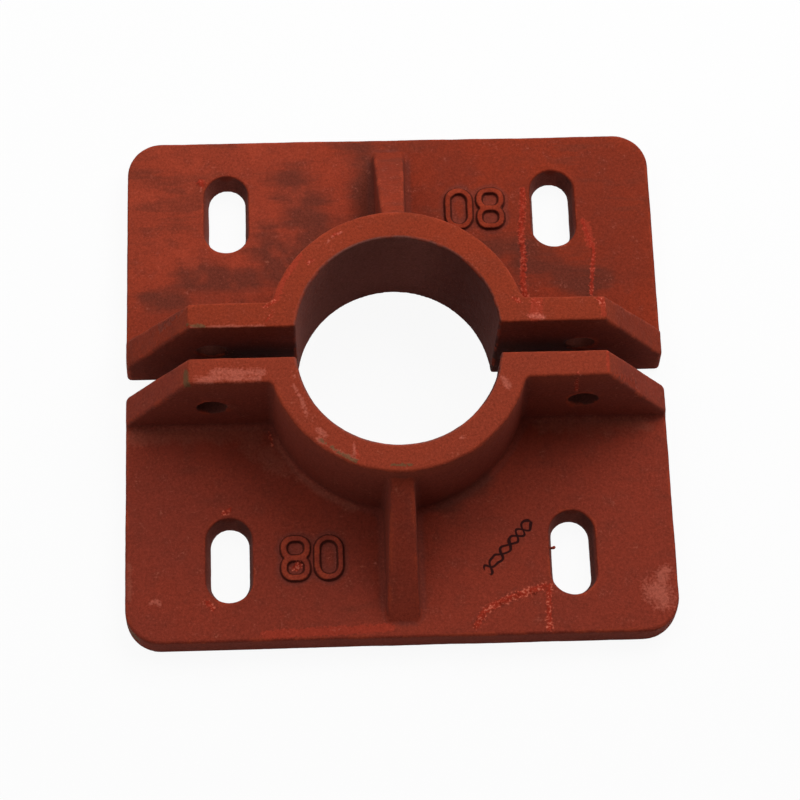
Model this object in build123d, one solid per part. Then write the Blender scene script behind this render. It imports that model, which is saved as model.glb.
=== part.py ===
from build123d import *

import math
import os

# Tube clamp base flange: two identical iron castings that face each other across a gap.
# Each half is a base plate with half of a pipe collar, a bolting lug on each side of the
# collar and one stiffening rib. The origin is on the pipe axis at the underside of the
# plates, +Z runs up the pipe and X runs along the split between the halves.
# Each half is drawn in its own frame, with its split face on y = 0 and its plate at -Y.

# Driving sizes, in millimetres
split_gap = 13.8           # between the split faces of the two halves

plate_width = 245.2        # along X, at the underside
plate_depth = 113.7        # from the split face to the outer edge, at the underside
plate_thickness = 13.5
plate_corner_radius = 16.5
side_draft = 3.0           # degrees, on the sides of the plate and the rib

bore_radius = 44.5         # seats an 80 mm nominal bore pipe, 88.9 mm outside
bore_centre_past_split = 3.6
collar_height = 65.0       # from the underside
rim_radius = 56.9          # outside of the collar, at its top
collar_draft = 1.8         # degrees

lug_top_thickness = 11.6
lug_draft = 2.0            # degrees, on the outer face
lug_flat_half_length = 90.8
lug_end_height = 16.5      # where the slope meets the side of the plate
lug_bolt_hole_radius = 6.75
lug_bolt_hole_x = 82.0
lug_bolt_hole_z = 36.0

rib_top_width = 9.5        # at the collar
rib_drop_below_rim = 3.5
rib_end_from_edge = 7.0    # from the outer edge of the plate

slot_x = 76.1
slot_y = -76.3             # from the split face
slot_length = 35.0         # end to end, at the underside
slot_half_width = 8.65     # at the underside
slot_throat = 4.0          # straight part, up from the underside
slot_flare = 1.9           # growth in half width, from the throat to the top face

size_mark_centre = (-39.5, -76.3)   # the raised "80", the nominal pipe size
digit_width = 13.4
digit_height = 21.0
digit_pitch = 14.7
digit_stroke = 3.1
digit_raise = 1.6
digit_draft = 8.0          # degrees

foot_fillet = 3.0          # where collar, lugs and rib meet the plate and each other
outer_edge_fillet = 1.5
rib_edge_fillet = 1.8
split_edge_fillet = 1.2    # round the split face and the mouth of the bore
slot_edge_fillet = 0.8
split_corner_fillet = 2.5  # the plate's corners beside the gap

# Derived sizes
half_width = plate_width / 2
beyond = 400.0             # longer than any side of the casting


def tangent(degrees):
    return math.tan(math.radians(degrees))


def prism_along_x(points, half_length):
    """Solid of a (y, z) outline, pulled both ways along X."""
    face = make_face(Polyline(*[(0, y, z) for y, z in points], close=True))
    return extrude(face, amount=half_length, dir=(1, 0, 0), both=True)


def prism_along_y(points, length):
    """Solid of an (x, z) outline, pulled from y = 0 towards -Y."""
    face = make_face(Polyline(*[(x, 0, z) for x, z in points], close=True))
    return extrude(face, amount=length, dir=(0, -1, 0))


def near_side_of_split():
    """Everything on the casting's own side of the split face."""
    return Pos(0, -beyond / 2) * Box(2 * beyond, beyond, 2 * beyond)


def edges_where(shape, test):
    """Edges of a shape whose centre passes a test on its x, y and z."""
    return [edge for edge in shape.edges() if test(*edge.center())]


# The pieces of one casting

def make_plate():
    """Plate with drafted sides and two large round corners, square at the split."""
    whole = RectangleRounded(plate_width, 2 * plate_depth, plate_corner_radius)
    return extrude(whole, amount=plate_thickness, taper=side_draft) & near_side_of_split()


def make_collar():
    """Outside of the half collar, a cone about the pipe axis, cut off at the split."""
    foot_radius = rim_radius + collar_height * tangent(collar_draft)
    cone = Cone(foot_radius, rim_radius, collar_height, align=(Align.CENTER, Align.CENTER, Align.MIN))
    return (Pos(0, bore_centre_past_split) * cone) & near_side_of_split()


def make_lugs():
    """Wall along the split face, level with the rim, then sloping down to the plate's sides."""
    end_x = half_width - lug_end_height * tangent(side_draft)
    outline = [(-half_width, 0), (-end_x, lug_end_height), (-lug_flat_half_length, collar_height),
               (lug_flat_half_length, collar_height), (end_x, lug_end_height), (half_width, 0)]
    foot_thickness = lug_top_thickness + collar_height * tangent(lug_draft)
    section = [(0, 0), (-foot_thickness, 0), (-lug_top_thickness, collar_height), (0, collar_height)]
    return prism_along_y(outline, plate_depth) & prism_along_x(section, beyond)


def make_rib():
    """Buttress from the collar down to the plate, thicker towards its foot."""
    top = collar_height - rib_drop_below_rim
    start_y = bore_centre_past_split - rim_radius + 4
    end_y = rib_end_from_edge - plate_depth
    side = [(start_y, 0), (start_y, top), (end_y, plate_thickness), (end_y, 0)]
    half_top = rib_top_width / 2
    half_foot = half_top + top * tangent(side_draft)
    section = [(-half_foot, 0), (-half_top, top), (half_top, top), (half_foot, 0)]
    rib = prism_along_x(side, plate_depth) & prism_along_y(section, beyond)
    slope_middle = (top + plate_thickness) / 2
    along_slope = edges_where(rib, lambda x, y, z: abs(z - slope_middle) < 1 and abs(x) > half_top)
    return fillet(along_slope, rib_edge_fillet)


def join_casting():
    """Plate, collar, lugs and rib as one solid, with cast fillets in the inner corners."""
    casting = make_plate() + make_collar() + make_lugs() + make_rib()
    rib_tip_y = rib_end_from_edge - plate_depth

    def is_foot(x, y, z):
        inside = rib_tip_y - 0.5 < y < -1 and abs(x) < half_width - 2
        return abs(z - plate_thickness) < 0.6 and inside

    def is_upright_corner(x, y, z):
        between = plate_thickness + 1 < z < collar_height - 1
        beside_rib = abs(x) < 8 and y > -rim_radius
        beside_lug = 40 < abs(x) < rim_radius + 2 and y < -1
        return between and y < -1 and (beside_rib or beside_lug)

    return fillet(edges_where(casting, lambda x, y, z: is_foot(x, y, z) or is_upright_corner(x, y, z)),
                  foot_fillet)


def round_outer_edges(casting):
    """Round the edges of the plate, the lugs and the rim that face up and outwards."""
    upright = edges_where(casting, lambda x, y, z: abs(y) < 0.1 and abs(x) > half_width - 2)
    casting = fillet(upright, split_corner_fillet)

    def is_outer(x, y, z):
        on_rim = abs(z - collar_height) < 0.2 and y < -1
        on_slope = abs(abs(x) - (half_width + lug_flat_half_length) / 2) < 2 and y < -5 and 30 < z < 50
        on_lug_end = abs(x) > half_width - 2 and z > plate_thickness + 0.1 and y < -1
        beside_plate = abs(z - plate_thickness) < 0.2
        on_plate_side = beside_plate and abs(x) > half_width - plate_corner_radius and y < -16
        on_plate_front = beside_plate and y < 2 - plate_depth
        return on_rim or on_slope or on_lug_end or on_plate_side or on_plate_front

    return fillet(edges_where(casting, is_outer), outer_edge_fillet)


def cut_bore(casting):
    """Half bore for the pipe, then round its mouth and the outline of the split face."""
    casting = casting - Pos(0, bore_centre_past_split) * Cylinder(bore_radius, beyond)

    def is_split_edge(x, y, z):
        by_bore = math.hypot(x, y - bore_centre_past_split) < bore_radius + 0.5 and z > 1
        along_top = abs(y) < 0.5 and abs(x) > bore_radius and z > lug_end_height + 1
        return by_bore or along_top

    return fillet(edges_where(casting, is_split_edge), split_edge_fillet)


def cut_slot(casting, side):
    """Slot across the plate, straight at the underside and flared above."""
    def outline(half_width_here):
        overall = slot_length - 2 * slot_half_width + 2 * half_width_here
        return SlotOverall(overall, 2 * half_width_here, rotation=90)

    flare_height = plate_thickness - slot_throat
    throat = extrude(outline(slot_half_width), amount=slot_throat)
    top_face = Pos(0, 0, flare_height) * outline(slot_half_width + slot_flare)
    flare = Pos(0, 0, slot_throat) * loft([outline(slot_half_width), top_face])
    casting = casting - Pos(side * slot_x, slot_y) * (throat + flare)

    def is_mouth(x, y, z):
        beside = abs(x - side * slot_x) < slot_length / 2 and abs(y - slot_y) < slot_length
        return beside and abs(z - plate_thickness) < 0.1

    return fillet(edges_where(casting, is_mouth), slot_edge_fillet)


def cut_lug_holes(casting):
    for side in (-1, 1):
        hole = Rot(90, 0, 0) * Cylinder(lug_bolt_hole_radius, beyond)
        casting = casting - Pos(side * lug_bolt_hole_x, 0, lug_bolt_hole_z) * hole
    return casting


def ring(width, height, stroke):
    """Flat loop with straight flanks and round ends."""
    inner_width = width - 2 * stroke
    outside = RectangleRounded(width, height, width / 2 - 0.05)
    return outside - RectangleRounded(inner_width, height - 2 * stroke, inner_width / 2 - 0.05)


def make_size_mark():
    """Raised figures 8 and 0, the nominal pipe size."""
    loop_height = (digit_height + digit_stroke) / 2
    loop_offset = (digit_height - loop_height) / 2
    loop = RectangleRounded(digit_width, loop_height, loop_height / 2 - 0.6)
    hole = RectangleRounded(digit_width - 2 * digit_stroke, loop_height - 2 * digit_stroke,
                            loop_height / 2 - digit_stroke - 0.4)
    eight = Pos(0, loop_offset) * (loop - hole) + Pos(0, -loop_offset) * (loop - hole)
    nought = ring(digit_width, digit_height, digit_stroke)
    x, y = size_mark_centre
    figures = Pos(x - digit_pitch / 2, y) * eight + Pos(x + digit_pitch / 2, y) * nought
    sunk = 0.4
    return Pos(0, 0, plate_thickness - sunk) * extrude(figures, amount=digit_raise + sunk,
                                                       taper=digit_draft)


def make_half():
    casting = round_outer_edges(join_casting())
    casting = cut_bore(casting)
    casting = cut_lug_holes(casting)
    for side in (-1, 1):
        casting = cut_slot(casting, side)
    return casting + make_size_mark()


half = make_half()
halves = {
    "front_half": Pos(0, -split_gap / 2) * half,
    "rear_half": Rot(0, 0, 180) * Pos(0, -split_gap / 2) * half,
}

os.makedirs("parts", exist_ok=True)
for name, shape in halves.items():
    export_step(shape, f"parts/{name}.step")
    print(f"{name}: {len(shape.solids())} solid, {shape.volume / 1000:.1f} cm3")
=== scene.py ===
# %% [markdown]
# # A cast-iron tube clamp base flange
# Two identical sand castings, painted in red oxide primer, face each other across a narrow gap.
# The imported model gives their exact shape. Every length here is in metres in its frame: Z runs up
# the pipe, X along the split, and the front half lies towards -Y.

# %% Load the model
import math

import bpy
import numpy as np
from mathutils import Matrix, Vector


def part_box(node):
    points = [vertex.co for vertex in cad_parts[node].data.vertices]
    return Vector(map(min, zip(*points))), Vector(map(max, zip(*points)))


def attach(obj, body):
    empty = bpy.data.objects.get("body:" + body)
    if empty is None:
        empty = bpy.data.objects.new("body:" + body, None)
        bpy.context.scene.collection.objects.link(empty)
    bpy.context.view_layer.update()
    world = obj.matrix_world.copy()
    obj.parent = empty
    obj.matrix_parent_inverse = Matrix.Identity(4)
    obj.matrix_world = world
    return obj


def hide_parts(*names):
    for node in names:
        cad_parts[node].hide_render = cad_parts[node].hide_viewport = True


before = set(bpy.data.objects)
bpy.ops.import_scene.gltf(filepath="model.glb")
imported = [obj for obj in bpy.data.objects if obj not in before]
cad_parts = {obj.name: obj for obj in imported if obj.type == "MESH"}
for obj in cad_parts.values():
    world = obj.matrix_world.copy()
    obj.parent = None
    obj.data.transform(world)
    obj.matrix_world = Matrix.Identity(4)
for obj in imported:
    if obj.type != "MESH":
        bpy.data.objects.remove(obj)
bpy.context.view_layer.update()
scene = bpy.context.scene
scene.view_settings.view_transform = "Standard"
MM = 0.001

# %% [markdown]
# ## Camera
# The castings are seen from above and in front, turned a few degrees, through a long lens.

# %% Camera
camera_data = bpy.data.cameras.new("camera")
camera = bpy.data.objects.new("camera", camera_data)
scene.collection.objects.link(camera)
scene.camera = camera
camera_data.lens = 104.2
camera_data.clip_start = 0.05
camera.location = (-0.0341, -0.3542, 1.0030)
look_down, look_aside, lean = (math.radians(a) for a in (70.73, -5.94, 4.30))
forward = Vector((-math.sin(look_aside) * math.cos(look_down),
                  math.cos(look_aside) * math.cos(look_down), -math.sin(look_down)))
level = Vector((math.cos(look_aside), math.sin(look_aside), 0))
above = level.cross(forward)
right = level * math.cos(lean) + above * math.sin(lean)
up = above * math.cos(lean) - level * math.sin(lean)
camera.rotation_euler = Matrix((right, up, -forward)).transposed().to_euler()

# %% [markdown]
# ## Shader sums
# A finish is a long sum of patterns. A small class lets Python's own + - * / build the Math
# nodes, so that a recipe reads as a formula, and one method adds every other kind of node.


# %% Shader sums
class Value:
    """The output of a node. A sum on it adds a Math node to the same recipe."""

    def __init__(self, recipe, socket):
        self.recipe = recipe
        self.socket = socket

    def maths(self, operation, *others):
        return self.recipe.add("ShaderNodeMath", {"operation": operation}, self, *others)

    def __add__(self, other):
        return self.maths("ADD", other)

    def __sub__(self, other):
        return self.maths("SUBTRACT", other)

    def __rsub__(self, other):
        return self.recipe.add("ShaderNodeMath", {"operation": "SUBTRACT"}, other, self)

    def __mul__(self, other):
        return self.maths("MULTIPLY", other)

    def __truediv__(self, other):
        return self.maths("DIVIDE", other)

    def __pow__(self, other):
        return self.maths("POWER", other)

    def __abs__(self):
        return self.maths("ABSOLUTE")

    __radd__ = __add__
    __rmul__ = __mul__

    def rise(self, start, end):
        """0 up to start, 1 from end, smooth between. It falls where start is above end."""
        return self.recipe.add("ShaderNodeMapRange", {"interpolation_type": "SMOOTHSTEP"},
                               Value=self, From_Min=start, From_Max=end)


class Recipe:
    """A node tree. Its one method adds a node, sets it up and returns an output."""

    def __init__(self, owner):
        owner.use_nodes = True
        self.tree = owner.node_tree
        self.tree.nodes.clear()

    def add(self, kind, settings=None, *values, output=0, **named):
        node = self.tree.nodes.new(kind)
        for name, setting in (settings or {}).items():
            setattr(node, name, setting)
        sockets = [socket for socket in node.inputs if socket.enabled]
        pairs = list(zip(sockets, values))
        pairs += [(next(s for s in sockets if s.name == name.replace("_", " ")), value)
                  for name, value in named.items()]
        for socket, value in pairs:
            if isinstance(value, Value):
                self.tree.links.new(value.socket, socket)
            else:
                socket.default_value = value
        enabled = [socket for socket in node.outputs if socket.enabled]
        return Value(self, enabled[output]) if enabled else node

    def blend(self, amount, first, second, way="MIX"):
        """Colour first where amount is 0, second where it is 1."""
        return self.add("ShaderNodeMix", {"data_type": "RGBA", "blend_type": way},
                        amount, first, second)


# %% [markdown]
# ## Floor and light
# A plain white floor and wide, soft lamps, as in a small studio. The strongest is a window high
# up behind and to the right, so the walls that face the camera stay dark. Rays that only look at
# the floor or the sky see plain white. Rays that carry light get a real floor, which keeps the
# shadow, and a sky so dim that the lamps do the modelling.

# %% Floor
bpy.ops.object.select_all(action="DESELECT")
bpy.ops.mesh.primitive_plane_add(size=8, location=(0, 0, -0.1 * MM))
floor = bpy.context.object
floor.name = "floor"
floor_paint = bpy.data.materials.new("floor_white")
floor.data.materials.append(floor_paint)
recipe = Recipe(floor_paint)
SEEING_RAYS = (0, 3, 6)  # outputs of Light Path: Is Camera, Is Glossy, Is Transmission Ray
WHITENESS = 0.93         # of what such a ray sees, the rest is the lit floor


def rays_that_see(recipe):
    """1 for a ray from the camera, off a gloss or through glass. No ray is two of these."""
    return sum(recipe.add("ShaderNodeLightPath", output=kind) for kind in SEEING_RAYS)


matt = recipe.add("ShaderNodeBsdfDiffuse", None, (0.88, 0.88, 0.88, 1))
white = recipe.add("ShaderNodeEmission", None, (1, 1, 1, 1), 1.0)
shown = recipe.add("ShaderNodeMixShader", None, rays_that_see(recipe) * WHITENESS, matt, white)
recipe.add("ShaderNodeOutputMaterial", None, shown)

# %% World and lamps
world = bpy.data.worlds.new("studio")
scene.world = world
recipe = Recipe(world)
DOME = 0.045  # strength of the sky as a light
strength = rays_that_see(recipe) * (1 - DOME) + DOME
sky = recipe.add("ShaderNodeBackground", None, (1.0, 1.0, 1.0, 1), strength)
recipe.add("ShaderNodeOutputWorld", None, sky)

LAMP_DISTANCE = 1.2  # metres from the middle


def add_lamp(name, turn, height, size, power):
    """Square lamp that faces the middle. Turn and height are its bearing in degrees."""
    turn, height = math.radians(turn), math.radians(height)
    spot = Vector((math.cos(turn) * math.cos(height), math.sin(turn) * math.cos(height),
                   math.sin(height)))
    bpy.ops.object.light_add(type="AREA", location=spot * LAMP_DISTANCE)
    lamp = bpy.context.object
    lamp.name = name
    lamp.data.size = size
    lamp.data.energy = power
    lamp.rotation_euler = spot.to_track_quat("Z", "Y").to_euler()


LAMPS = [("window", 46, 52, 0.9, 10.1), ("back_left", 132, 55, 0.8, 3.8),
         ("low_back", 80, 28, 0.8, 1.6), ("low_left", 182, 32, 0.7, 1.2),
         ("front_left", 226, 50, 0.8, 1.25), ("front_right", 320, 55, 0.8, 0.35)]
for lamp in LAMPS:
    add_lamp(*lamp)
print(len(LAMPS), "lamps")

# %% [markdown]
# ## The castings
# A sand casting has no true plane and no sharp corner. Moving only a few corner points can't show
# that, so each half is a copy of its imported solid, remeshed into small even faces. Small beads of
# iron are laid on the skin first, so that the remesh melts them into it: they stand for the fins
# and pimples that cracks and holes in the sand left behind.

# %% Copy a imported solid
HALVES = ("front_half", "rear_half")
PLATE_TOP = 13.5
RIM_TOP = 65.0


def choose(piece):
    """Make one object the only selected and the active one."""
    bpy.ops.object.select_all(action="DESELECT")
    piece.select_set(True)
    bpy.context.view_layer.objects.active = piece


def copy_of(node):
    """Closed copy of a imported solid: its loose triangles are merged at their corners."""
    copy = bpy.data.objects.new(node + "_casting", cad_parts[node].data.copy())
    scene.collection.objects.link(copy)
    copy.data.materials.clear()
    choose(copy)
    bpy.ops.object.mode_set(mode="EDIT")
    bpy.ops.mesh.select_all(action="SELECT")
    bpy.ops.mesh.remove_doubles(threshold=0.005 * MM)
    bpy.ops.object.mode_set(mode="OBJECT")
    return copy


castings = {node: copy_of(node) for node in HALVES}
for node, casting in castings.items():
    print(node, len(casting.data.polygons), "triangles")

# %% [markdown]
# Every mark on the skin is a line of points in millimetres with a width. The raised ones get
# beads along them. The same lines tell the paint later where it is fresh, scuffed or gone.

# %% Lines of beads
FINS = {
    "front_half": [
        ([(64.6, -98.5, PLATE_TOP), (64.1, -107.6, PLATE_TOP), (63.8, -117.8, PLATE_TOP)], 1.15),
        ([(62.9, -98.6, PLATE_TOP), (55.2, -101.0, PLATE_TOP), (48.0, -103.1, PLATE_TOP),
          (40.8, -106.1, PLATE_TOP), (35.4, -109.5, PLATE_TOP), (31.7, -115.6, PLATE_TOP)], 1.35),
        ([(77.0, -17.6, 64.6), (77.4, -18.4, 56.0), (78.0, -18.9, 47.0)], 0.75),
        ([(67.6, -80.9, 11.9), (68.0, -80.6, 11.9)], 0.9),
        ([(-78.4, -61.6, PLATE_TOP), (-75.4, -59.8, PLATE_TOP)], 0.9),
        ([(-86.0, -101.9, PLATE_TOP), (-83.2, -105.2, PLATE_TOP)], 1.0),
        ([(-46.8, -87.4, 13.6), (-45.6, -86.4, 13.6)], 1.5),
        ([(-57.6, -24.5, 13.2), (-56.0, -31.0, 13.2)], 0.6)],
    "rear_half": [
        ([(62.7, 92.5, PLATE_TOP), (62.0, 83.5, PLATE_TOP), (60.6, 70.0, PLATE_TOP),
          (61.4, 58.1, PLATE_TOP), (60.2, 46.2, PLATE_TOP), (61.6, 33.0, PLATE_TOP),
          (60.6, 20.5, PLATE_TOP)], 1.25),
        ([(89.5, 76.7, PLATE_TOP), (91.6, 69.5, PLATE_TOP), (94.0, 61.4, PLATE_TOP),
          (92.8, 51.4, PLATE_TOP), (91.6, 39.5, PLATE_TOP)], 0.8),
        ([(-88.2, 99.8, PLATE_TOP), (-87.0, 98.6, PLATE_TOP)], 1.5),
        ([(51.2, 17.8, 64.6), (53.4, 16.4, 64.6)], 1.0),
        ([(88.2, 16.6, 64.5), (90.0, 14.8, 64.3)], 1.2),
        ([(-59.4, 15.6, 64.7), (-54.8, 17.6, 64.7), (-52.6, 19.8, 64.7)], 0.6),
        ([(-58.0, 9.2, 64.7), (-55.6, 11.4, 64.7), (-54.0, 14.0, 64.7)], 0.6),
        ([(57.4, 9.2, 64.7), (60.4, 10.2, 64.7), (63.6, 8.8, 64.7)], 0.7),
        ([(58.8, 16.8, 64.7), (62.4, 14.6, 64.7)], 0.6),
        ([(-38.4, 36.6, 64.7), (-36.8, 37.6, 64.7)], 0.8),
        ([(-27.2, 49.3, 64.6), (-24.0, 50.6, 64.6)], 0.8)],
}
BEAD_STEP = 1.5    # mm along a fin
BEAD_STRAY = 0.28  # of a bead's size, how far it strays from its line
BEAD_SINK = 0.35   # of a bead's size, how deep it lies in the skin
dice = np.random.default_rng(80)


def along(path, step):
    """Points at even steps along a line of straight runs."""
    path = np.array(path)
    far = np.concatenate([[0], np.cumsum(np.linalg.norm(np.diff(path, axis=0), axis=1))])
    stops = np.linspace(0, far[-1], max(2, int(far[-1] / step)))
    return np.stack([np.interp(stops, far, path[:, axis]) for axis in range(3)], axis=1)


def bead_fins(casting, fins):
    """Add rough beads along each fin to the casting's mesh."""
    choose(casting)
    bpy.ops.object.mode_set(mode="EDIT")
    count = 0
    for path, size in fins:
        for stop in along(path, BEAD_STEP):
            stray = dice.normal(0, BEAD_STRAY, 3) * (1, 1, 0.35) * size
            turn = tuple(dice.uniform(0, 3, 3))
            bulk = dice.uniform(0.75, 1.15) * size
            spot = (stop + stray - (0, 0, BEAD_SINK * size)) * MM
            bpy.ops.mesh.primitive_ico_sphere_add(subdivisions=1, radius=bulk * MM,
                                                  location=spot, rotation=turn)
            count += 1
    bpy.ops.object.mode_set(mode="OBJECT")
    print(casting.name, count, "beads")


for node in HALVES:
    bead_fins(castings[node], FINS[node])

# %% [markdown]
# The remesh turns solid and beads into one skin. Displacement from cloud patterns in three sizes
# then gives the waves of a rammed mould, the lumps of hand work and the pitting of the sand. Last,
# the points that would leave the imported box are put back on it, which keeps the underside flat.

# %% Remesh and roughen
VOXEL = 0.65
MOST_TRIANGLES = 190_000
SKIN = [("waves", 0.030, 0.55), ("lumps", 0.008, 0.20), ("grain", 0.0022, 0.11)]  # m wide, mm deep


def use_modifier(casting, kind, **settings):
    """Add a modifier to the active casting and apply it."""
    modifier = casting.modifiers.new(kind.lower(), kind)
    for name, setting in settings.items():
        setattr(modifier, name, setting)
    bpy.ops.object.modifier_apply(modifier=modifier.name)


def cast(casting, node):
    """Turn a beaded solid into one rough skin inside its packed box."""
    choose(casting)
    casting.data.remesh_voxel_size = VOXEL * MM
    bpy.ops.object.voxel_remesh()
    use_modifier(casting, "SMOOTH", factor=0.5, iterations=2)
    for name, size, depth in SKIN:
        clouds = bpy.data.textures.get(name) or bpy.data.textures.new(name, "CLOUDS")
        clouds.noise_scale = size
        use_modifier(casting, "DISPLACE", texture=clouds, strength=depth * MM)
    use_modifier(casting, "TRIANGULATE")
    count = len(casting.data.polygons)
    if count > MOST_TRIANGLES:
        use_modifier(casting, "DECIMATE", ratio=MOST_TRIANGLES / count)
    places = points_of(casting)
    set_points(casting, np.clip(places, *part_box(node)))
    bpy.ops.object.shade_smooth()
    print(node, count, "triangles, kept", len(casting.data.polygons))


def points_of(casting, what="co"):
    """Coordinates or normals of a mesh's points, one row each."""
    values = np.empty(len(casting.data.vertices) * 3, dtype=np.float32)
    casting.data.vertices.foreach_get(what, values)
    return values.reshape(-1, 3)


def set_points(casting, places):
    """Move every point of a mesh to a new place."""
    casting.data.vertices.foreach_set("co", places.astype(np.float32).ravel())
    casting.data.update()


for node, casting in castings.items():
    cast(casting, node)

# %% [markdown]
# ## Where the skin is worn, and where light and shade are painted
# Marks are kept on the points of the mesh, where the paint recipe can read them: how near a point
# is to each kind of mark, and how far it stands out from its surroundings or lies back in a
# hollow. Standing out is painted as highlight, and lying back in a hollow as shade. Fresh paint is
# bright, a scuff is pale, bare is iron without paint, thin is where the brush left little and also
# painted shadow beside the ribs and collars, and dust lies in corners and also stands as painted
# light in the shade under the lugs and beside the collar.

# %% Marks on the points
MARKS = {
    "fresh": [
        ([(-60.8, -117.2, PLATE_TOP), (-32.4, -116.4, PLATE_TOP), (-6.0, -115.4, PLATE_TOP)], 3.2),
        ([(91.1, 74.6, PLATE_TOP), (92.5, 64.0, PLATE_TOP)], 3.5),
        ([(61.1, 16.2, RIM_TOP), (59.9, 9.3, RIM_TOP)], 4.0),
        ([(89.6, 16.4, RIM_TOP), (90.2, 9.5, RIM_TOP)], 2.2),
        ([(90.7, -8.2, RIM_TOP), (90.3, -16.5, RIM_TOP)], 1.2),
        ([(-53.0, 19.0, RIM_TOP), (-49.5, 28.0, RIM_TOP), (-42.0, 40.0, RIM_TOP)], 2.2),
        ([(-19.4, -50.0, RIM_TOP), (-18.8, -56.0, RIM_TOP)], 1.2)],
    "scuff": [
        ([(111.5, -101.5, PLATE_TOP), (115.0, -106.0, PLATE_TOP)], 9.5),
        ([(114.6, -97.0, PLATE_TOP), (116.6, -92.0, PLATE_TOP)], 5.0),
        ([(-110.9, -102.0, PLATE_TOP), (-109.2, -100.6, PLATE_TOP), (-106.7, -102.4, PLATE_TOP)], 1.9),
        ([(-87.0, -17.0, RIM_TOP), (-75.0, -16.0, RIM_TOP), (-60.9, -16.6, RIM_TOP)], 3.0),
        ([(-80.0, -13.6, RIM_TOP), (-59.0, -14.0, RIM_TOP)], 3.0),
        ([(-20.6, -47.8, RIM_TOP), (-20.2, -51.8, RIM_TOP)], 1.5),
        ([(-38.4, 36.6, RIM_TOP), (-36.6, 37.4, RIM_TOP)], 1.3),
        ([(-30.6, 45.2, RIM_TOP), (-26.2, 49.4, RIM_TOP), (-23.6, 50.6, RIM_TOP)], 0.9),
        ([(-45.6, -14.0, RIM_TOP), (-45.2, -17.0, RIM_TOP)], 1.0),
        ([(-46.0, -20.0, RIM_TOP), (-42.0, -27.0, RIM_TOP), (-40.5, -33.0, RIM_TOP)], 1.7),
        ([(-35.6, -40.4, RIM_TOP), (-32.6, -43.0, RIM_TOP)], 2.2),
        ([(-35.7, -44.6, RIM_TOP), (-29.3, -49.2, RIM_TOP), (-20.4, -54.2, RIM_TOP)], 1.5),
        ([(-90.0, 7.6, RIM_TOP), (-58.0, 7.4, RIM_TOP)], 1.1),
        ([(25.4, -45.8, RIM_TOP), (28.6, -45.0, RIM_TOP)], 1.3),
        ([(44.6, -18.7, RIM_TOP), (46.8, -22.7, RIM_TOP)], 2.4),
        ([(58.0, 9.3, RIM_TOP), (63.9, 8.6, RIM_TOP)], 1.6),
        ([(-87.7, 97.2, PLATE_TOP), (-87.7, 95.0, PLATE_TOP)], 0.9),
        ([(-18.1, -87.7, PLATE_TOP), (-17.6, -87.2, PLATE_TOP)], 0.9),
        ([(-12.1, -86.5, PLATE_TOP), (-11.4, -86.2, PLATE_TOP)], 0.9),
        ([(-46.9, -87.4, 14.0), (-45.7, -86.6, 14.0)], 1.4)],
    "bare": [
        ([(-92.4, -13.0, RIM_TOP - 2), (-91.8, -18.4, RIM_TOP - 2)], 3.4),
        ([(-92.0, 9.0, RIM_TOP - 1), (-84.0, 7.8, RIM_TOP)], 1.5),
        ([(-34.8, -45.0, RIM_TOP), (-27.0, -50.8, RIM_TOP), (-19.8, -55.2, RIM_TOP)], 1.1),
        ([(-4.5, -57.2, RIM_TOP), (4.5, -57.4, RIM_TOP)], 0.9),
        ([(-121.6, -107.0, 8.0), (-117.0, -115.4, 8.0)], 5.0)],
    "thin_paint_and_shade": [
        ([(-44.0, 96.0, PLATE_TOP), (-36.0, 74.0, PLATE_TOP), (-52.0, 58.0, PLATE_TOP)], 19),
        ([(-92.0, 52.0, PLATE_TOP), (-66.0, 48.0, PLATE_TOP)], 13),
        ([(-112.0, 42.0, PLATE_TOP), (-98.0, 40.0, PLATE_TOP)], 8),
        ([(60.0, 58.0, PLATE_TOP), (90.0, 44.0, PLATE_TOP)], 14),
        # Painted shadow left of the rear rib.
        ([(-11.0, 66.0, PLATE_TOP), (-11.0, 112.0, PLATE_TOP)], 12),
        # Painted shadow right of the rear collar.
        ([(32.0, 57.0, PLATE_TOP), (47.0, 61.0, PLATE_TOP)], 13),
        ([(-58.0, 70.0, PLATE_TOP), (-48.0, 64.0, PLATE_TOP)], 13),
        # Painted shadow right of the front rib and collar.
        ([(20.0, -56.0, PLATE_TOP), (34.0, -48.0, PLATE_TOP)], 12)],
    "dust_and_light": [
        ([(-55.3, -29.1, PLATE_TOP), (-46.7, -42.5, PLATE_TOP), (-35.0, -53.3, PLATE_TOP),
          (-20.9, -60.6, PLATE_TOP)], 3.4),
        # This line and the next two are painted light in the shade beside the collar and under the
        # lugs.
        ([(-66.0, -27.0, PLATE_TOP), (-54.0, -40.0, PLATE_TOP)], 11.0),
        ([(-118.0, -25.0, PLATE_TOP), (-70.0, -25.0, PLATE_TOP)], 8.0),
        ([(66.0, -24.0, PLATE_TOP), (112.0, -24.0, PLATE_TOP)], 7.0),
        ([(83.6, -18.4, 46.0), (85.4, -18.6, 40.0)], 5.0),
        ([(-74.0, -18.8, 37.0), (-72.0, -18.8, 35.0)], 4.0),
        ([(-120.0, -84.0, PLATE_TOP), (-120.0, -100.0, PLATE_TOP)], 2.2)],
}


def nearness(places, path, width):
    """1 on a line of points, falling evenly to 0 at its width."""
    best = np.full(len(places), np.inf)
    path = np.array(path) * MM
    for start, end in zip(path[:-1], path[1:]):
        run = end - start
        share = np.clip((places - start) @ run / (run @ run), 0, 1)
        best = np.minimum(best, np.linalg.norm(places - start - share[:, None] * run, axis=1))
    return np.clip(1 - best / (width * MM), 0, 1)


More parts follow.
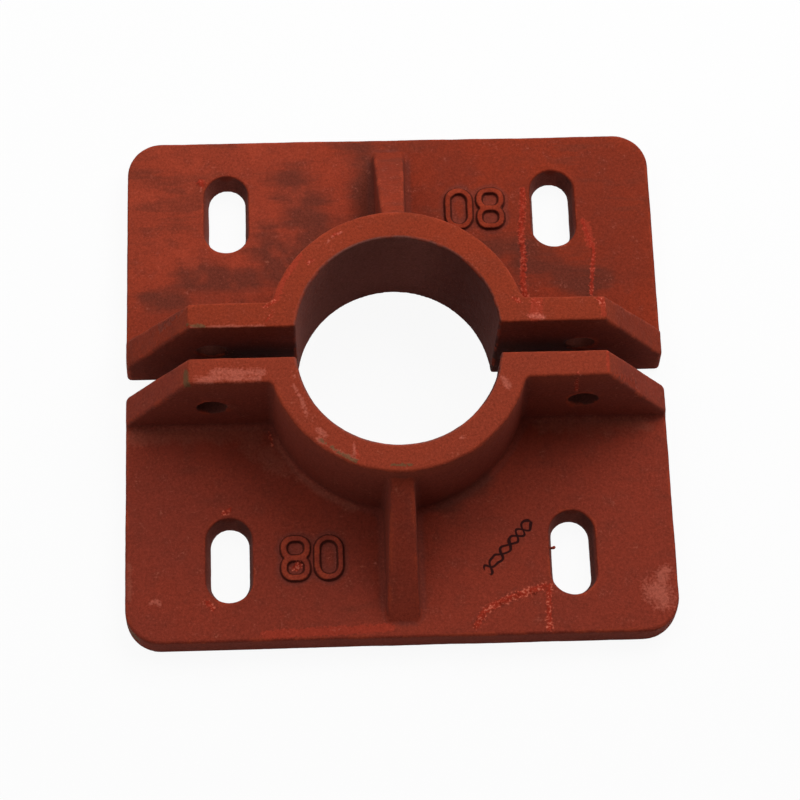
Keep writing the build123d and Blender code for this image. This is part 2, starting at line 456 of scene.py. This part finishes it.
def outstand(casting, rounds):
    """How far each point stands out of the mean of its surroundings, in millimetres."""
    places = points_of(casting).astype(float)
    links = np.empty(len(casting.data.edges) * 2, dtype=np.int32)
    casting.data.edges.foreach_get("vertices", links)
    one, other = links.reshape(-1, 2).T
    count = np.bincount(links, minlength=len(places))[:, None]
    mean = places.copy()
    for _ in range(rounds):
        total = np.stack([np.bincount(one, mean[other, axis], len(places))
                          + np.bincount(other, mean[one, axis], len(places))
                          for axis in range(3)], axis=1)
        mean = 0.3 * mean + 0.7 * total / count
    return ((places - mean) * points_of(casting, "normal")).sum(axis=1) / MM


def keep(casting, name, values):
    """Store one number per point under a name that the paint recipe reads."""
    attribute = casting.data.attributes.new(name, "FLOAT", "POINT")
    attribute.data.foreach_set("value", values.astype(np.float32))
    print(casting.name, name, "mean", round(float(values.mean()), 3))


FIN_REACH = 2.2  # of a fin's size, how far its own paint spreads
ROUNDS = 14      # of averaging, which set how wide the surroundings are
STANDING = 0.45  # mm out of its surroundings at which a point counts as a full edge

for node, casting in castings.items():
    places = points_of(casting)
    keep(casting, "fin", np.max([nearness(places, path, FIN_REACH * size)
                                 for path, size in FINS[node]], axis=0))
    for name, lines in MARKS.items():
        keep(casting, name, np.max([nearness(places, *line) for line in lines], axis=0))
    stand = outstand(casting, ROUNDS) / STANDING
    keep(casting, "edge", np.clip(stand, 0, 1))
    keep(casting, "hollow", np.clip(-stand, 0, 1))

# %% [markdown]
# ## Red oxide primer
# The castings were dipped or brushed with a matt red primer. One recipe paints both: it starts
# from a plain red and blends other colours over it, each where a pattern, a mark or a place says.
# First come the helpers, which give the patterns their size in millimetres.

# %% Helpers for the primer


def tint(red, green, blue):
    """Colour from 0 to 255 as a screen shows it, turned to the amount of light it stands for."""
    return tuple(((c / 255 + 0.055) / 1.055) ** 2.4 for c in (red, green, blue)) + (1,)


paint = bpy.data.materials.new("red_oxide_primer")
recipe = Recipe(paint)
place = recipe.add("ShaderNodeTexCoord", output=3)


def clouds(size, detail=3.0, stretch=(1, 1, 1), turn=0.0, shift=0.0):
    """Soft pattern between 0 and 1, its patches about size millimetres across."""
    grid = recipe.add("ShaderNodeMapping", None, place, (shift, shift, shift), (0, 0, turn),
                      tuple(s / (size * MM) for s in stretch))
    return recipe.add("ShaderNodeTexNoise", None, grid, Scale=1.0, Detail=detail, Roughness=0.55)


def mark(name):
    """A number stored on the points of the mesh."""
    return recipe.add("ShaderNodeAttribute", {"attribute_name": name}, output=2)


def part_of(vector, axis):
    """X, Y or Z of a vector."""
    return recipe.add("ShaderNodeSeparateXYZ", None, vector, output="XYZ".index(axis))


def near(value, centre, reach, soft=0.4):
    """1 where a value in metres is within reach of a centre, both in millimetres."""
    return abs(value - centre * MM).rise((reach + soft) * MM, (reach - soft) * MM)


# Middles of the bore, slots, bolt holes and raised number, mirrored into one quarter
BORE_Y = 3.3
SLOT_X, SLOT_Y = 76.1, 83.2
BOLT_X, BOLT_Z = 82.0, 36.0
NUMBER_X, NUMBER_Y = 39.5, 83.2

x, y, z = (part_of(place, axis) for axis in "XYZ")
side_x, side_y = abs(x), abs(y)
drift = clouds(38, 3)
mottle = clouds(7, 3, shift=4)
speck = clouds(1.1, 2, shift=9)
fine = clouds(0.45, 1, shift=3)
stroke = clouds(6, 3, stretch=(0.16, 1, 1), turn=0.12, shift=2)

# %% [markdown]
# The open faces show how the paint went on. The front casting is a cooler red than the rear one,
# long brush marks run along X, and the paint is browner where it is thin. The same brown is painted
# shadow beside the ribs and collars, hollows get painted shade, and the colour is lighter towards the
# top.

# %% Paint on the open faces
back = y.rise(0.010, 0.060)
back_left = back * x.rise(0.010, -0.050)
brushed = back * stroke.rise(0.47, 0.62) * clouds(30, 2, shift=7).rise(0.42, 0.6)
red = recipe.blend(drift.rise(0.35, 0.65), tint(130, 50, 33), tint(140, 52, 32))
red = recipe.blend(back_left * 0.4, red, tint(166, 70, 50))
red = recipe.blend(y.rise(0.010, -0.010) * 0.35, red, tint(138, 60, 50))
red = recipe.blend(mottle.rise(0.45, 0.75) * 0.35, red, tint(116, 52, 40))
red = recipe.blend(brushed * 0.5, red, tint(114, 52, 38))
# Browner where the paint is thin, and painted shadow beside the ribs and collars.
thin_paint_and_shade = mark("thin_paint_and_shade") + (stroke - 0.5) * 1.3 + (clouds(16, 3, shift=15) - 0.5) * 1.0
red = recipe.blend(thin_paint_and_shade.rise(0.1, 0.85) * 0.8, red, tint(98, 48, 37))
red = recipe.blend(back_left * clouds(14, 3, shift=12).rise(0.5, 0.68) * 0.5, red, tint(164, 66, 45))
# The colour is lighter and more orange towards the top.
high_up = z.rise(0.050, 0.063)
red = recipe.blend(high_up * 0.45, red, tint(152, 62, 38))
# Painted shade: hollows in the skin are blended to a darker, greyer red.
red = recipe.blend(mark("hollow").rise(0.1, 0.8) * 0.35, red, tint(98, 56, 50))
# Dust is a pale tint; where its lines lie in the shade beside the collar and under the lugs it is
# painted light.
dust_and_light = (mark("dust_and_light") + (mottle - 0.5) * 1.4 + (speck - 0.5) * 0.6).rise(0.2, 0.9)
red = recipe.blend(dust_and_light * 0.45, red, tint(154, 80, 63))

# %% [markdown]
# Steep walls are painted darker and greyer, a painted shade and sheen. The cuts have known places
# and sizes, so plain sums on X, Y and Z find them. The raised number is picked out by painted shade
# on its sides, where they turn away from straight up.

# %% Painted shade on the walls and round the raised number
facing = recipe.add("ShaderNodeNewGeometry", output=1)
tilt = part_of(facing, "Z")
# Painted shade and sheen: steep walls are blended to a darker, greyer red.
red = recipe.blend(tilt.rise(0.7, 0.3) * 0.5, red, tint(110, 56, 46))
# Painted shade: the sides of the raised number are darkened.
number = near(side_x, NUMBER_X, 16) * near(side_y, NUMBER_Y, 13) * near(z, PLATE_TOP, 3)
red = recipe.blend(number * tilt.rise(0.985, 0.85) * 0.75, red, tint(58, 24, 20))

# %% Inside the bore, the slots, the bolt holes and the gap
across = side_y - BORE_Y * MM
bore = ((x * x + across * across) ** 0.5).rise(0.0458, 0.0448)
slot = near(side_x, SLOT_X, 9.8) * near(side_y, SLOT_Y, 18.6) * z.rise(0.0132, 0.0118)
inside = bore.maths("MAXIMUM", slot)
red = recipe.blend(inside * 0.85, red, tint(127, 70, 60))
red = recipe.blend(bore * near(x, -4, 26, 14) * 0.6, red, tint(142, 90, 80))
# Painted shade: inner walls of the bore and slots that face -X are darkened.
red = recipe.blend(inside * part_of(facing, "X").rise(-0.1, -0.8) * 0.7, red, tint(70, 34, 29))
out = side_x - BOLT_X * MM
over = z - BOLT_Z * MM
bolt_hole = ((out * out + over * over) ** 0.5).rise(0.0074, 0.0068)
# Painted shade: the bolt holes are darker and greyer inside.
red = recipe.blend(bolt_hole * 0.7, red, tint(78, 52, 46))
# Painted shade deep in the gap between the two halves.
deep = side_y.rise(0.0088, 0.0078) * side_x.rise(0.092, 0.076) * z.rise(0.050, 0.034)
red = recipe.blend(deep * 0.7, red, tint(44, 22, 18))

# %% [markdown]
# Edges that stand out are painted lighter as a painted highlight, fins and pimples are a brighter
# red with specks of painted glint, flat places are scuffed pale by handling, and at a few corners
# the iron shows.

# %% Painted highlights on edges and fins, scuffs, bare iron
# Painted highlight: edges that stand out are blended to a lighter red.
edge = mark("edge") * clouds(9, 3, shift=5).rise(0.4, 0.62)
red = recipe.blend(edge.rise(0.25, 0.9) * 0.5, red, tint(164, 66, 43))
lively = (mark("fresh") + (mottle - 0.5) * 0.9 + (speck - 0.5) * 0.8).rise(0.25, 0.6)
red = recipe.blend(lively * 0.6, red, tint(166, 58, 40))
fin = (mark("fin") + (speck - 0.5) * 1.3).rise(0.3, 0.75)
red = recipe.blend(fin * 0.8, red, tint(158, 46, 29))
# Painted glint: pale pink specks on the fins.
red = recipe.blend(fin * speck.rise(0.52, 0.68) * (0.65 - back * 0.45), red, tint(206, 112, 88))
worn = (mark("scuff") + (mottle - 0.5) * 1.3 + (speck - 0.5) * 1.3).rise(0.2, 0.95)
red = recipe.blend(worn * 0.5, red, tint(194, 106, 88))
bare = (mark("bare") + (mottle - 0.5) * 0.8 + (speck - 0.5) * 1.0).rise(0.25, 0.6)
red = recipe.blend(bare * 0.75, red, tint(98, 78, 52))

# %% [markdown]
# A scrawl of marker pen crosses the front plate. It is a wave and its mirror image, which make a
# row of loops: a point is inked where its distance from either, measured square to the line, is
# less than about half the nib. A slow cloud pattern shakes the hand.

# %% Pen stroke
PEN_PLACE = (47.6, -79.8)
PEN_TURN = math.radians(47.8)
PEN_LENGTH = 31.0
WAVE_LENGTH = 10.6
WAVE_HEIGHT = 2.1
NIB = 1.15
spot = recipe.add("ShaderNodeMapping", {"vector_type": "TEXTURE"}, place,
                  (PEN_PLACE[0] * MM, PEN_PLACE[1] * MM, 0), (0, 0, PEN_TURN))
run, rise = part_of(spot, "X"), part_of(spot, "Y")
hand = clouds(11, 1, shift=21)
turns = 2 * math.pi / (WAVE_LENGTH * MM)
phase = run * turns + hand * 6
height = (0.5 + hand) * (WAVE_HEIGHT * MM)
slope = height * phase.maths("COSINE") * turns
level = height * phase.maths("SINE")
off = abs(abs(rise) - abs(level)) / (slope * slope + 1) ** 0.5
ink = off.rise(0.65 * NIB * MM, 0.35 * NIB * MM)
ink = ink * near(run, 0, PEN_LENGTH / 2) * near(z, PLATE_TOP, 2)
red = recipe.blend(ink * (0.75 + speck * 0.3), red, tint(24, 16, 18))

# %% [markdown]
# Last come a fine grain in the colour, which the sand gives the paint, a matt finish that is a
# little smoother on fins and fresh paint, and a fine bump for the grains themselves.

# %% Gloss, relief and the finished skin
grain = (speck - 0.5) * 0.42 + (fine - 0.5) * 0.35 + 0.5
red = recipe.blend(0.9, red, recipe.add("ShaderNodeCombineXYZ", None, grain, grain, grain), "OVERLAY")
rough = 0.74 + (mottle - 0.5) * 0.2 - fin * 0.25 - lively * 0.1
relief = fine * 0.00007 + speck * 0.00012
normal = recipe.add("ShaderNodeBump", None, Strength=1.0, Distance=1.0, Height=relief)
skin = recipe.add("ShaderNodeBsdfPrincipled", None, Base_Color=red, Roughness=rough,
                  Specular_IOR_Level=0.02, Normal=normal)
recipe.add("ShaderNodeOutputMaterial", None, skin)

# %% [markdown]
# ## Finish
# The remeshed castings stand in for the two imported solids, which stay behind as collision shapes,
# hidden.

# %% Hand the castings over
for node, casting in castings.items():
    casting.data.materials.append(paint)
    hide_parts(node)
    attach(casting, "root")
